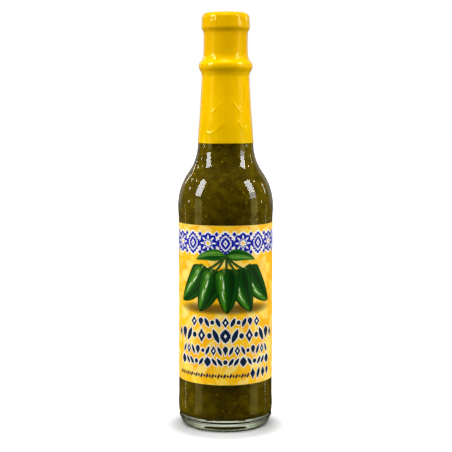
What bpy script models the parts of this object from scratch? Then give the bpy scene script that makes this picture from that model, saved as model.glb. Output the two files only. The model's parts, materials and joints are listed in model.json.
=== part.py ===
"""A filled hot sauce bottle: clear glass, sauce, moulded cap, shrunk sleeve and wrapped paper label.

Units are metres and +Z is up. The origin is the middle of the ring that the bottle rests on, and the
middle of the label faces -Y. Every piece is turned round Z, so each one is a profile of (radius, height)
points with a Screw modifier, and the two skins are open profiles with Solidify.
"""

import math

import bpy

# How the pieces are fitted and faceted.
GAP = 0.0003
SKIN = 0.0003
FACETS = 40
MERGE_DISTANCE = 0.00001
PIECES = "hot_sauce_bottle"

# The foot and heel of the glass.
FOOT_INNER_RADIUS = 0.0166
FOOT_OUTER_RADIUS = 0.0188
PUSH_UP_HEIGHT = 0.0022
HEEL_BEAD_RADIUS = 0.02204
HEEL_HEIGHT = 0.0096
HEEL_BEAD_TOP = 0.0110

# The straight panel between the two beads, and the label on it.
PANEL_RADIUS = 0.02188
PANEL_BOTTOM = 0.0140
PANEL_TOP = 0.0974
LABEL_RADIUS = 0.02195
LABEL_BOTTOM = 0.02244
LABEL_TOP = 0.09515
LABEL_BARE_STEPS = 4

# The shoulder: a bead, then an arc that bulges out, then one that sweeps in to the neck.
SHOULDER_BEAD_RADIUS = 0.02213
SHOULDER_BASE = 0.1025
BULGE_RADIUS = 0.0270
SWEEP_RADIUS = 0.0229
SHOULDER_TURN = math.radians(35.5)
NECK_TAPER = math.radians(3.8)

# The neck that the sleeve covers, with the ring near its top.
SLEEVE_BOTTOM = 0.13165
NECK_BASE_RADIUS = 0.01227
NECK_TOP_RADIUS = 0.01033
RING_HEIGHT = 0.1666
RING_HALF_HEIGHT = 0.0046
RING_RADIUS = 0.01175
COLLAR_RADIUS = 0.0096

# The mouth inside the cap.
FINISH_RADIUS = 0.00835
BORE_RADIUS = 0.0056
MOUTH_HEIGHT = 0.1880
LIP_RADIUS = 0.0006

# The inside of the glass.
WALL = 0.0030
BASE_THICKNESS = 0.0038
INNER_CORNER_RADIUS = 0.0045
INNER_FLOOR_EDGE = 0.0050
NECK_BORE_BASE_RADIUS = 0.0099
NECK_BORE_TOP_RADIUS = 0.0076
NECK_BORE_TOP = 0.1620
THROAT_HEIGHT = 0.1680
FILL_HEIGHT = 0.1350

# The cap: a wide head on a narrower skirt.
CAP_TOP = 0.1904
HEAD_RADIUS = 0.0103
HEAD_CORNER_RADIUS = 0.0017
HEAD_RIM_RADIUS = 0.01047
HEAD_RIM_HEIGHT = 0.1844
SKIRT_SHOULDER = 0.1829
SKIRT_SHOULDER_RADIUS = 0.00980
SKIRT_TOP = 0.1816
SKIRT_TOP_RADIUS = 0.0095
SKIRT_RADIUS = 0.00958

# The sleeve's opening over the cap's top.
SLEEVE_OPENING_RADIUS = 0.0078


def arc(centre, radius, start, end, steps):
    """Points on an arc, both ends included; angles are in radians from +radius towards +Z."""
    angles = [start + (end - start) * i / steps for i in range(steps + 1)]
    return [(centre[0] + radius * math.cos(a), centre[1] + radius * math.sin(a)) for a in angles]


def offset(profile, distance):
    """The profile moved sideways, outwards where it runs down its piece's outer side."""
    moved = []
    for i, (radius, height) in enumerate(profile):
        before = profile[max(i - 1, 0)]
        after = profile[min(i + 1, len(profile) - 1)]
        along_r, along_z = after[0] - before[0], after[1] - before[1]
        length = math.hypot(along_r, along_z)
        moved.append((radius - distance * along_z / length, height + distance * along_r / length))
    return moved


def shoulder(bulge_radius, sweep_radius):
    """The shoulder from the neck down to the bead, for the outer or the inner face of the glass."""
    bulge_centre = (SHOULDER_BEAD_RADIUS - BULGE_RADIUS, SHOULDER_BASE)
    reach = BULGE_RADIUS + SWEEP_RADIUS
    sweep_centre = (
        bulge_centre[0] + reach * math.cos(SHOULDER_TURN),
        bulge_centre[1] + reach * math.sin(SHOULDER_TURN),
    )
    sweep = arc(sweep_centre, sweep_radius, math.pi + NECK_TAPER, math.pi + SHOULDER_TURN, 5)
    bulge = arc(bulge_centre, bulge_radius, SHOULDER_TURN, 0, 6)
    return sweep[:-1] + bulge


def neck_outline():
    """The outer face of the glass that the sleeve covers, from the collar under the cap down."""
    ring_top = RING_HEIGHT + RING_HALF_HEIGHT
    steps = 8
    outline = []
    for i in range(steps + 1):
        share = 1 - 2 * i / steps
        base = COLLAR_RADIUS if share > 0 else NECK_TOP_RADIUS
        swell = math.cos(share * math.pi / 2) ** 2
        outline.append((base + (RING_RADIUS - base) * swell, ring_top - RING_HALF_HEIGHT * (1 - share)))
    outline.append((NECK_BASE_RADIUS, SLEEVE_BOTTOM - GAP))
    return outline


def cap_outline():
    """The outer face of the cap, from the corner of its head down to the hem of its skirt."""
    corner = (HEAD_RADIUS - HEAD_CORNER_RADIUS, CAP_TOP - HEAD_CORNER_RADIUS)
    return arc(corner, HEAD_CORNER_RADIUS, math.pi / 2, 0, 4) + [
        (HEAD_RIM_RADIUS, HEAD_RIM_HEIGHT),
        (SKIRT_SHOULDER_RADIUS, SKIRT_SHOULDER),
        (SKIRT_TOP_RADIUS, SKIRT_TOP),
        (SKIRT_RADIUS, RING_HEIGHT + RING_HALF_HEIGHT + 2 * GAP),
    ]


def bore_outline():
    """The inner face of the glass, from the mouth down to the middle of its floor."""
    wall_radius = SHOULDER_BEAD_RADIUS - WALL
    corner = (wall_radius - INNER_CORNER_RADIUS, INNER_FLOOR_EDGE + INNER_CORNER_RADIUS)
    return (
        [
            (BORE_RADIUS, MOUTH_HEIGHT - LIP_RADIUS),
            (BORE_RADIUS, THROAT_HEIGHT),
            (NECK_BORE_TOP_RADIUS, NECK_BORE_TOP),
            (NECK_BORE_BASE_RADIUS, SLEEVE_BOTTOM),
        ]
        + shoulder(BULGE_RADIUS - WALL, SWEEP_RADIUS + WALL)[1:]
        + arc(corner, INNER_CORNER_RADIUS, 0, -math.pi / 2, 4)
        + [(0.0, PUSH_UP_HEIGHT + BASE_THICKNESS)]
    )


def body_outline():
    """The outer face of the glass that shows, from the sleeve's hem down to the middle of the foot."""
    recess_radius = LABEL_RADIUS - SKIN - GAP
    heel_steps = 6
    heel = [
        (
            FOOT_OUTER_RADIUS + (HEEL_BEAD_RADIUS - FOOT_OUTER_RADIUS) * math.sin(turn),
            HEEL_HEIGHT * (1 - math.cos(turn)),
        )
        for turn in (math.pi / 2 * (1 - i / heel_steps) for i in range(heel_steps + 1))
    ]
    upper = shoulder(BULGE_RADIUS, SWEEP_RADIUS)
    ledge_radius = upper[0][0] - (SLEEVE_BOTTOM - GAP - upper[0][1]) * math.tan(NECK_TAPER)
    return (
        [(ledge_radius, SLEEVE_BOTTOM - GAP)]
        + upper
        + [
            (PANEL_RADIUS, PANEL_TOP),
            (PANEL_RADIUS, LABEL_TOP + GAP),
            (recess_radius, LABEL_TOP + GAP),
            (recess_radius, LABEL_BOTTOM - GAP),
            (PANEL_RADIUS, LABEL_BOTTOM - GAP),
            (PANEL_RADIUS, PANEL_BOTTOM),
            (HEEL_BEAD_RADIUS, HEEL_BEAD_TOP),
        ]
        + heel
        + [
            (FOOT_INNER_RADIUS, 0.0),
            (FOOT_INNER_RADIUS * 0.93, PUSH_UP_HEIGHT * 0.40),
            (FOOT_INNER_RADIUS * 0.60, PUSH_UP_HEIGHT * 0.85),
            (0.0, PUSH_UP_HEIGHT),
        ]
    )


def principled(name, colour, roughness, metallic=0.0, transmission=0.0):
    """A plain material with the piece's colour, roughness and metallic value."""
    material = bpy.data.materials.new(name)
    material.use_nodes = True
    shader = material.node_tree.nodes["Principled BSDF"]
    shader.inputs["Base Color"].default_value = (*colour, 1.0)
    shader.inputs["Roughness"].default_value = roughness
    shader.inputs["Metallic"].default_value = metallic
    shader.inputs["Transmission Weight"].default_value = transmission
    material.diffuse_color = (*colour, 1.0)
    return material


def turned(name, profile, material, axis, steps=FACETS):
    """A named object that turns the profile round Z, by as many facets of the full circle as asked."""
    mesh = bpy.data.meshes.new(name)
    points = [(radius, 0.0, height) for radius, height in profile]
    mesh.from_pydata(points, [(i, i + 1) for i in range(len(points) - 1)], [])
    mesh.materials.append(material)
    piece = bpy.data.objects.new(name, mesh)
    bpy.data.collections[PIECES].objects.link(piece)
    piece.parent = axis
    screw = piece.modifiers.new("turn", "SCREW")
    screw.axis = "Z"
    screw.angle = math.tau * steps / FACETS
    screw.steps = screw.render_steps = steps
    screw.use_merge_vertices = True
    screw.merge_threshold = MERGE_DISTANCE
    return piece


def add_skin(piece):
    """Gives an open turned surface its thickness, inwards from the outline."""
    skin = piece.modifiers.new("skin", "SOLIDIFY")
    skin.thickness = SKIN
    skin.offset = -1.0
    skin.use_even_offset = True


def make_glass(axis):
    """The bottle itself, open at its mouth, with a thick pushed-up base."""
    lip = [
        (FINISH_RADIUS, MOUTH_HEIGHT - LIP_RADIUS),
        (FINISH_RADIUS - LIP_RADIUS, MOUTH_HEIGHT),
        (BORE_RADIUS + LIP_RADIUS, MOUTH_HEIGHT),
    ]
    finish = [(FINISH_RADIUS, RING_HEIGHT + RING_HALF_HEIGHT)]
    inside = bore_outline()[::-1]
    glass = principled("clear_glass", (0.88, 0.92, 0.86), 0.03, transmission=1.0)
    outline = inside + lip[::-1] + finish + neck_outline() + body_outline()
    turned("glass_bottle", outline, glass, axis)


def make_sauce(axis):
    """The sauce, up to its fill height in the neck, a gap clear of the glass."""
    inner = offset(bore_outline(), -GAP)
    neck, below = inner[2], inner[3]
    share = (FILL_HEIGHT - below[1]) / (neck[1] - below[1])
    surface_radius = below[0] + share * (neck[0] - below[0])
    floor = (0.0, inner[-1][1])
    olive = principled("green_sauce", (0.075, 0.055, 0.004), 0.45)
    outline = [(0.0, FILL_HEIGHT), (surface_radius, FILL_HEIGHT)] + inner[3:-1] + [floor]
    turned("sauce", outline, olive, axis)


def make_cap(axis):
    """The moulded cap: a closed head with a skirt that reaches down over the mouth."""
    outer = cap_outline()
    bore = FINISH_RADIUS + GAP
    roof = MOUTH_HEIGHT + GAP
    inside = [(bore, outer[-1][1]), (bore, roof), (0.0, roof)]
    yellow = principled("cap_plastic", (0.90, 0.62, 0.01), 0.35)
    turned("screw_cap", [(0.0, CAP_TOP)] + outer + inside, yellow, axis)


def make_sleeve(axis):
    """The shrunk sleeve, which follows the cap and the neck at a gap and folds over the cap's edge."""
    covered = [(SLEEVE_OPENING_RADIUS, CAP_TOP)] + cap_outline() + neck_outline()
    outline = offset(covered, GAP + SKIN)
    outline[-1] = (outline[-1][0], SLEEVE_BOTTOM)
    film = principled("sleeve_film", (0.92, 0.66, 0.01), 0.18)
    add_skin(turned("neck_sleeve", outline, film, axis))


def make_label(axis):
    """The paper label, wrapped round the panel with a bare strip of glass at the back."""
    steps = FACETS - LABEL_BARE_STEPS
    outline = [(LABEL_RADIUS, LABEL_TOP), (LABEL_RADIUS, LABEL_BOTTOM)]
    paper = principled("label_paper", (0.93, 0.60, 0.03), 0.40)
    label = turned("label", outline, paper, axis, steps)
    label.rotation_euler.z = math.pi / 2 + math.tau * LABEL_BARE_STEPS / FACETS / 2
    add_skin(label)


def build():
    """Clears the scene and makes the bottle's five pieces round one upright axis."""
    for old in list(bpy.data.objects):
        bpy.data.objects.remove(old)
    collection = bpy.data.collections.new(PIECES)
    bpy.context.scene.collection.children.link(collection)
    axis = bpy.data.objects.new("bottle_axis", None)
    collection.objects.link(axis)
    for make in (make_glass, make_sauce, make_cap, make_sleeve, make_label):
        make(axis)


build()
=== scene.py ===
"""Looks for a hot sauce bottle: clear glass, olive sauce with flecks, a shrunk sleeve and a printed label.

Lengths are in metres, +Z is up and the middle of the label faces -Y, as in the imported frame. Turned pieces
are outlines of (radius, height) points. Print is laid out flat, with x along the paper, z up it and -y out
of it, is cut into narrow strips and is then wrapped round the bottle.
"""

import json
import logging
import math
import random
from abc import ABC, abstractmethod
from dataclasses import dataclass
from enum import Enum
from typing import Sequence, Union

import bmesh
import bpy
import numpy as np
from mathutils import Matrix, Vector

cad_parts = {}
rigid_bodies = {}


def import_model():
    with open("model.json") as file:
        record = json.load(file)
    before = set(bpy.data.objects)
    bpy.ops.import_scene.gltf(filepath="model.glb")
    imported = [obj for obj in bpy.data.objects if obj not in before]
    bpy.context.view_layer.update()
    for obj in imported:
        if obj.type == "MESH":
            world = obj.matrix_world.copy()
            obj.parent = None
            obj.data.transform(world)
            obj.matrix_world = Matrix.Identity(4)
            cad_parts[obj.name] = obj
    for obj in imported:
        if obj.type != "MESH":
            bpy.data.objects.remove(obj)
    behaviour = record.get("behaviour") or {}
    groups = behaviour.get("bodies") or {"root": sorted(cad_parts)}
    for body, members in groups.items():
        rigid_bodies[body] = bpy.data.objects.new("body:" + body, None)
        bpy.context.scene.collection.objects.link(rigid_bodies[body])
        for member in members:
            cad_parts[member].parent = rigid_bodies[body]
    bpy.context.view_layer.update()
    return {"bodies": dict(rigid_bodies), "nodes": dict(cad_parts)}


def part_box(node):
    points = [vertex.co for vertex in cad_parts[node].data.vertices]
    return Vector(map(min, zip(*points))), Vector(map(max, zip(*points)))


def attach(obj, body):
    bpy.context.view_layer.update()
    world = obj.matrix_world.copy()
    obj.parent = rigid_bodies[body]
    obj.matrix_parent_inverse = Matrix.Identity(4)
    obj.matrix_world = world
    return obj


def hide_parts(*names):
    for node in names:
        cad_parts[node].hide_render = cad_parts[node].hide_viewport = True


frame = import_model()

MM = 0.001
BODY = "root"
MERGE_DISTANCE = 0.000001
CUT_DISTANCE = 0.00000001
SMOOTH_ANGLE = math.radians(35)

Colour = tuple[float, float, float]
Triple = tuple[float, float, float]
Point = tuple[float, float]
Span = tuple[float, float]
Outline = list[Point]
Socket = bpy.types.NodeSocket
Sockets = bpy.types.bpy_prop_collection
Value = Union[float, Sequence[float], Socket]
Inputs = dict[Union[int, str], Value]

LOG = logging.getLogger("hot_sauce_bottle")


def srgb(red: int, green: int, blue: int) -> Colour:
    """Turns a screen colour into the linear values that a shader takes.

    Args:
        red, green, blue: The screen values, from 0 to 255.

    Returns:
        The linear red, green and blue.
    """
    slope, knee, lift, power = 12.92, 0.04045, 0.055, 2.4
    shares = [value / 255 for value in (red, green, blue)]
    return tuple(c / slope if c <= knee else ((c + lift) / (1 + lift)) ** power for c in shares)


def arc(centre: Point, radius: float, start: float, end: float, steps: int) -> Outline:
    """Lays points on an arc, both ends included.

    Args:
        centre: The arc's centre, as radius and height.
        radius: The arc's radius.
        start, end: Its first and last angle in degrees, from +radius towards +Z.
        steps: The number of stretches between the points.

    Returns:
        The points in order.
    """
    angles = [math.radians(start + (end - start) * i / steps) for i in range(steps + 1)]
    return [(centre[0] + radius * math.cos(a), centre[1] + radius * math.sin(a)) for a in angles]


def smooth(points: Outline, spacing: float) -> Outline:
    """Draws a smooth curve through the points, by Catmull and Rom's rule.

    Args:
        points: The points that the curve passes.
        spacing: The distance to keep between the new points.

    Returns:
        The curve as closely spaced points.
    """
    curve: Outline = []
    for i in range(len(points) - 1):
        before, start = Vector(points[max(i - 1, 0)]), Vector(points[i])
        end, after = Vector(points[i + 1]), Vector(points[min(i + 2, len(points) - 1)])
        leave, arrive = (end - before) / 2, (after - start) / 2
        steps = max(1, round((end - start).length / spacing))
        for step in range(steps):
            t = step / steps
            place = (
                start * (2 * t**3 - 3 * t**2 + 1)
                + leave * (t**3 - 2 * t**2 + t)
                + end * (3 * t**2 - 2 * t**3)
                + arrive * (t**3 - t**2)
            )
            curve.append((place.x, place.y))
    return curve + [points[-1]]


def offset(outline: Outline, distance: float) -> Outline:
    """Moves an outline sideways, outwards where it runs down a piece's outer side.

    Args:
        outline: The points to move.
        distance: How far they move.

    Returns:
        The moved points.
    """
    moved = []
    for i, (radius, height) in enumerate(outline):
        before, after = outline[max(i - 1, 0)], outline[min(i + 1, len(outline) - 1)]
        along = Vector((after[0] - before[0], after[1] - before[1])).normalized()
        moved.append((radius - distance * along.y, height + distance * along.x))
    return moved


class Graph:
    """Adds nodes to one shader node tree and links them."""

    def __init__(self, tree: bpy.types.NodeTree) -> None:
        """Takes the tree to fill."""
        self.tree = tree

    def feed(self, socket: Socket, value: Value) -> None:
        """Links a socket's value, or sets it.

        Args:
            socket: The input to feed.
            value: Another node's output, a number, a vector or a colour.
        """
        if isinstance(value, Socket):
            self.tree.links.new(value, socket)
        elif socket.type == "RGBA":
            socket.default_value = (*value[:3], 1.0)
        else:
            socket.default_value = value

    def add(self, kind: str, inputs: Inputs, **settings: object) -> bpy.types.Node:
        """Adds one node.

        Args:
            kind: The node's type.
            inputs: What feeds its inputs, by name or place.
            settings: The node's own properties.

        Returns:
            The node.
        """
        node = self.tree.nodes.new(kind)
        for name, value in settings.items():
            setattr(node, name, value)
        for key, value in inputs.items():
            self.feed(node.inputs[key], value)
        return node

    def math(self, operation: str, first: Value, second: Value = 0.0) -> Socket:
        """Works out one sum on two values.

        Args:
            operation: The Math node's operation.
            first, second: The values.

        Returns:
            The result's socket.
        """
        return self.add("ShaderNodeMath", {0: first, 1: second}, operation=operation).outputs[0]

    def times(self, first: Value, second: Value) -> Socket:
        """Multiplies two values, and returns the product's socket."""
        return self.math("MULTIPLY", first, second)

    def mix(self, factor: Value, first: Value, second: Value, blend: str = "MIX") -> Socket:
        """Mixes two colours.

        Args:
            factor: The share of the second one.
            first, second: The colours.
            blend: The way they mix.

        Returns:
            The mixed colour's socket.
        """
        node = self.add("ShaderNodeMix", {0: factor, 6: first, 7: second}, data_type="RGBA", blend_type=blend)
        return node.outputs[2]

    def tinted(self, colour: Value, tint: Colour) -> Socket:
        """Multiplies a colour by a tint, and returns the new colour's socket."""
        return self.mix(1.0, colour, tint, "MULTIPLY")

    def remap(
        self, value: Value, low: float, high: float, to_low: Value = 0.0, to_high: Value = 1.0
    ) -> Socket:
        """Eases a value from one range into another, and holds it at the ends.

        Args:
            value: The value.
            low, high: The range that it comes from.
            to_low, to_high: What those two ends become.

        Returns:
            The new value's socket.
        """
        inputs = {"Value": value, "From Min": low, "From Max": high, "To Min": to_low, "To Max": to_high}
        return self.add("ShaderNodeMapRange", inputs, interpolation_type="SMOOTHSTEP").outputs["Result"]

    def ramp(self, factor: Value, stops: Sequence[tuple[float, Colour]]) -> Socket:
        """Turns a value into a colour along a row of stops.

        Args:
            factor: The value, from 0 to 1.
            stops: Each stop's place and colour, in order.

        Returns:
            The colour's socket.
        """
        node = self.add("ShaderNodeValToRGB", {"Fac": factor})
        elements = node.color_ramp.elements
        while len(elements) < len(stops):
            elements.new(1.0)
        for element, (place, colour) in zip(elements, stops):
            element.position = place
            element.color = (*colour, 1.0)
        return node.outputs["Color"]

    def noise(self, place: Value, scale: Value, detail: float = 3.0) -> Socket:
        """Reads a soft random pattern.

        Args:
            place: The point to read it at.
            scale: Its features per metre, or per unit of the point.
            detail: Its finer layers.

        Returns:
            The value's socket, from 0 to 1.
        """
        inputs = {"Vector": place, "Scale": scale, "Detail": detail}
        return self.add("ShaderNodeTexNoise", inputs).outputs["Fac"]

    def clouds(self, place: Value, scale: Value, detail: float, low: float, high: float) -> Socket:
        """Reads a soft random pattern, and spreads the middle of it from 0 to 1.

        Args:
            place: The point to read it at.
            scale: Its features per metre, or per unit of the point.
            detail: Its finer layers.
            low, high: The ends of the part that is spread.

        Returns:
            The value's socket.
        """
        return self.remap(self.noise(place, scale, detail), low, high)

    def scaled(self, place: Value, by: Value) -> Socket:
        """Stretches a point by a factor for each axis, and returns the new point's socket."""
        return self.add("ShaderNodeVectorMath", {0: place, 1: by}, operation="MULTIPLY").outputs[0]

    def parts(self, place: Value) -> Sockets:
        """Splits a point, and returns the sockets of its X, Y and Z."""
        return self.add("ShaderNodeSeparateXYZ", {0: place}).outputs

    def object_place(self) -> Socket:
        """Returns the point on the piece, in the object's own coordinates."""
        return self.add("ShaderNodeTexCoord", {}).outputs["Object"]


class Effect(ABC):
    """A shader node group that several finishes place, each with its own values."""

    name = ""
    inputs: dict[str, str] = {}
    outputs: dict[str, str] = {}

    def place(self, graph: Graph, values: dict[str, Value]) -> bpy.types.Node:
        """Puts the group in a material, and builds it where it isn't there yet.

        Args:
            graph: The material's graph.
            values: What feeds the group's inputs.

        Returns:
            The group's node.
        """
        tree = bpy.data.node_groups.get(self.name) or self.build()
        node = graph.add("ShaderNodeGroup", {}, node_tree=tree)
        for name, value in values.items():
            graph.feed(node.inputs[name], value)
        return node

    def build(self) -> bpy.types.NodeTree:
        """Makes the group with its named sockets, and returns it."""
        tree = bpy.data.node_groups.new(self.name, "ShaderNodeTree")
        for direction, sockets in (("INPUT", self.inputs), ("OUTPUT", self.outputs)):
            for name, kind in sockets.items():
                tree.interface.new_socket(name=name, in_out=direction, socket_type=f"NodeSocket{kind}")
        graph = Graph(tree)
        self.fill(graph, graph.add("NodeGroupInput", {}).outputs, graph.add("NodeGroupOutput", {}).inputs)
        return tree

    @abstractmethod
    def fill(self, graph: Graph, given: Sockets, result: Sockets) -> None:
        """Adds the group's inside.

        Args:
            graph: The group's graph.
            given: The group's inputs, as sockets to read.
            result: The group's outputs, as sockets to feed.
        """


class Grain(Effect):
    """Fine unevenness of a surface: a mask, a roughness that follows it and a slight relief."""

    name = "surface_grain"
    inputs = {"Place": "Vector", "Scale": "Float", "Smooth": "Float", "Rough": "Float", "Relief": "Float"}
    outputs = {"Mask": "Float", "Roughness": "Float", "Normal": "Vector"}
    detail = 5.0
    spread = (0.3, 0.7)
    relief_depth = 0.1 * MM

    def fill(self, graph: Graph, given: Sockets, result: Sockets) -> None:
        """Reads one noise for the mask, the roughness and the relief."""
        mask = graph.clouds(given["Place"], given["Scale"], self.detail, *self.spread)
        bump = {"Strength": given["Relief"], "Distance": self.relief_depth, "Height": mask}
        graph.feed(result["Mask"], mask)
        graph.feed(result["Roughness"], graph.remap(mask, 0.0, 1.0, given["Smooth"], given["Rough"]))
        graph.feed(result["Normal"], graph.add("ShaderNodeBump", bump).outputs["Normal"])


class Wrapped(Effect):
    """Unrolls the bottle: the way round from the front, and the height."""

    name = "unrolled_place"
    inputs = {"Place": "Vector", "Radius": "Float"}
    outputs = {"Flat": "Vector", "Along": "Float", "Height": "Float"}

    def fill(self, graph: Graph, given: Sockets, result: Sockets) -> None:
        """Works out the length of arc from the middle of the front."""
        parts = graph.parts(given["Place"])
        angle = graph.math("ARCTAN2", parts["X"], graph.times(parts["Y"], -1.0))
        along = graph.times(angle, given["Radius"])
        graph.feed(result["Flat"], graph.add("ShaderNodeCombineXYZ", {0: along, 1: parts["Z"]}).outputs[0])
        graph.feed(result["Along"], along)
        graph.feed(result["Height"], parts["Z"])


class Petals(Effect):
    """One layer of scattered slanting petals with soft edges, each with its own random share of tint."""

    name = "slanting_petals"
    inputs = {"Flat": "Vector", "Slant": "Float", "Size": "Vector", "Shift": "Vector"}
    outputs = {"Mask": "Float"}
    corner_shape = 1.45
    scatter = 0.8
    edge = (0.46, 0.42)
    spread = (0.35, 0.75)

    def fill(self, graph: Graph, given: Sockets, result: Sockets) -> None:
        """Turns and stretches the place, and draws a rounded petal round each scattered point."""
        slant = {"Vector": given["Flat"], "Angle": given["Slant"]}
        turned = graph.add("ShaderNodeVectorRotate", slant, rotation_type="Z_AXIS").outputs[0]
        shift = {0: graph.scaled(turned, given["Size"]), 1: given["Shift"]}
        shifted = graph.add("ShaderNodeVectorMath", shift, operation="ADD").outputs[0]
        spots = {"Vector": shifted, "Scale": 1.0, "Randomness": self.scatter, "Exponent": self.corner_shape}
        ways = {"voronoi_dimensions": "2D", "distance": "MINKOWSKI"}
        cells = graph.add("ShaderNodeTexVoronoi", spots, **ways).outputs
        petal = graph.remap(cells["Distance"], *self.edge)
        chance = graph.add("ShaderNodeSeparateColor", {0: cells["Color"]}).outputs[0]
        graph.feed(result["Mask"], graph.times(petal, graph.remap(chance, *self.spread)))


@dataclass(frozen=True)
class Finish(ABC):
    """What one surface looks like, as a material that is built once."""

    name: str

    def material(self) -> bpy.types.Material:
        """Builds the material, or finds the one that is built, and returns it."""
        found = bpy.data.materials.get(self.name)
        if found is not None:
            return found
        material = bpy.data.materials.new(self.name)
        material.use_nodes = True
        self.dress(Graph(material.node_tree), material.node_tree.nodes["Principled BSDF"].inputs)
        return material

    @abstractmethod
    def dress(self, graph: Graph, shader: Sockets) -> None:
        """Feeds the shader.

        Args:
            graph: The material's graph.
            shader: The Principled BSDF's inputs.
        """

    def grain(self, graph: Graph, shader: Sockets, **values: float) -> Socket:
        """Gives the surface its fine unevenness.

        Args:
            graph: The material's graph.
            shader: The Principled BSDF's inputs.
            values: The grain's Scale, Smooth, Rough and Relief.

        Returns:
            The grain's mask.
        """
        node = Grain().place(graph, {"Place": graph.object_place(), **values})
        graph.feed(shader["Roughness"], node.outputs["Roughness"])
        graph.feed(shader["Normal"], node.outputs["Normal"])
        return node.outputs["Mask"]


@dataclass(frozen=True)
class ClearGlass(Finish):
    """Polished soda-lime glass with a trace of green and of handling."""

    name: str = "clear_bottle_glass"
    tint: Colour = (0.92, 0.96, 0.90)
    deep_tint: Colour = (0.52, 0.61, 0.37)
    deep_heights: Span = (5.5 * MM, 1.5 * MM)
    smudge: Colour = (0.985, 0.985, 0.985)
    refraction: float = 1.5

    def dress(self, graph: Graph, shader: Sockets) -> None:
        """Makes it clear, greener in the thick foot, with faint smudges in the polish."""
        mask = self.grain(graph, shader, Scale=36.0, Smooth=0.0, Rough=0.015, Relief=0.005)
        height = graph.parts(graph.object_place())["Z"]
        colour = graph.mix(graph.remap(height, *self.deep_heights), self.tint, self.deep_tint)
        graph.feed(shader["Base Color"], graph.mix(mask, colour, graph.tinted(colour, self.smudge)))
        graph.feed(shader["IOR"], self.refraction)
        graph.feed(shader["Transmission Weight"], 1.0)


@dataclass(frozen=True)
class OliveSauce(Finish):
    """Thick blended sauce against the glass: mottled olive, with darker and paler specks."""

    name: str = "olive_sauce"
    dark: Colour = srgb(72, 58, 0)
    light: Colour = srgb(96, 79, 0)
    speck: Colour = srgb(140, 112, 6)
    herb: Colour = srgb(36, 32, 0)
    cloud_scale: float = 260.0
    pulp_scale: float = 900.0
    pulp_stretch: Triple = (1.0, 1.0, 0.6)
    pulp_strength: float = 0.5
    speck_scale: float = 900.0
    speck_size: float = 0.16
    herb_scale: float = 1300.0
    herb_size: float = 0.2
    soft_edge: float = 0.08
    bit_strength: float = 0.7

    def dress(self, graph: Graph, shader: Sockets) -> None:
        """Layers broad clouds, streaks and fine specks."""
        place = graph.object_place()
        clouds = graph.clouds(place, self.cloud_scale, 4.0, 0.32, 0.68)
        drawn_out = graph.scaled(place, self.pulp_stretch)
        pulp = graph.remap(graph.noise(drawn_out, self.pulp_scale), 0.35, 0.7, 0.0, self.pulp_strength)
        colour = graph.mix(graph.math("MAXIMUM", clouds, pulp), self.dark, self.light)
        bits = ((self.speck_scale, self.speck_size, self.speck), (self.herb_scale, self.herb_size, self.herb))
        for scale, size, tint in bits:
            away = graph.add("ShaderNodeTexVoronoi", {"Vector": place, "Scale": scale}).outputs["Distance"]
            share = graph.remap(away, size, size - self.soft_edge, 0.0, self.bit_strength)
            colour = graph.mix(share, colour, tint)
        graph.feed(shader["Base Color"], colour)
        graph.feed(shader["Roughness"], graph.remap(clouds, 0.0, 1.0, 0.5, 0.65))
        graph.feed(shader["Specular IOR Level"], 0.01)


@dataclass(frozen=True)
class Fleck(Finish):
    """Bits of seed, skin or herb in the sauce."""

    name: str = "fleck"
    colour: Colour = srgb(150, 118, 28)
    other: Colour = srgb(92, 74, 10)
    cloud_scale: float = 260.0

    def dress(self, graph: Graph, shader: Sockets) -> None:
        """Varies the colour from bit to bit."""
        share = graph.clouds(graph.object_place(), self.cloud_scale, 1.0, 0.35, 0.65)
        graph.feed(shader["Base Color"], graph.mix(share, self.colour, self.other))
        graph.feed(shader["Roughness"], graph.remap(share, 0.0, 1.0, 0.5, 0.7))
        graph.feed(shader["Specular IOR Level"], 0.04)


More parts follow.
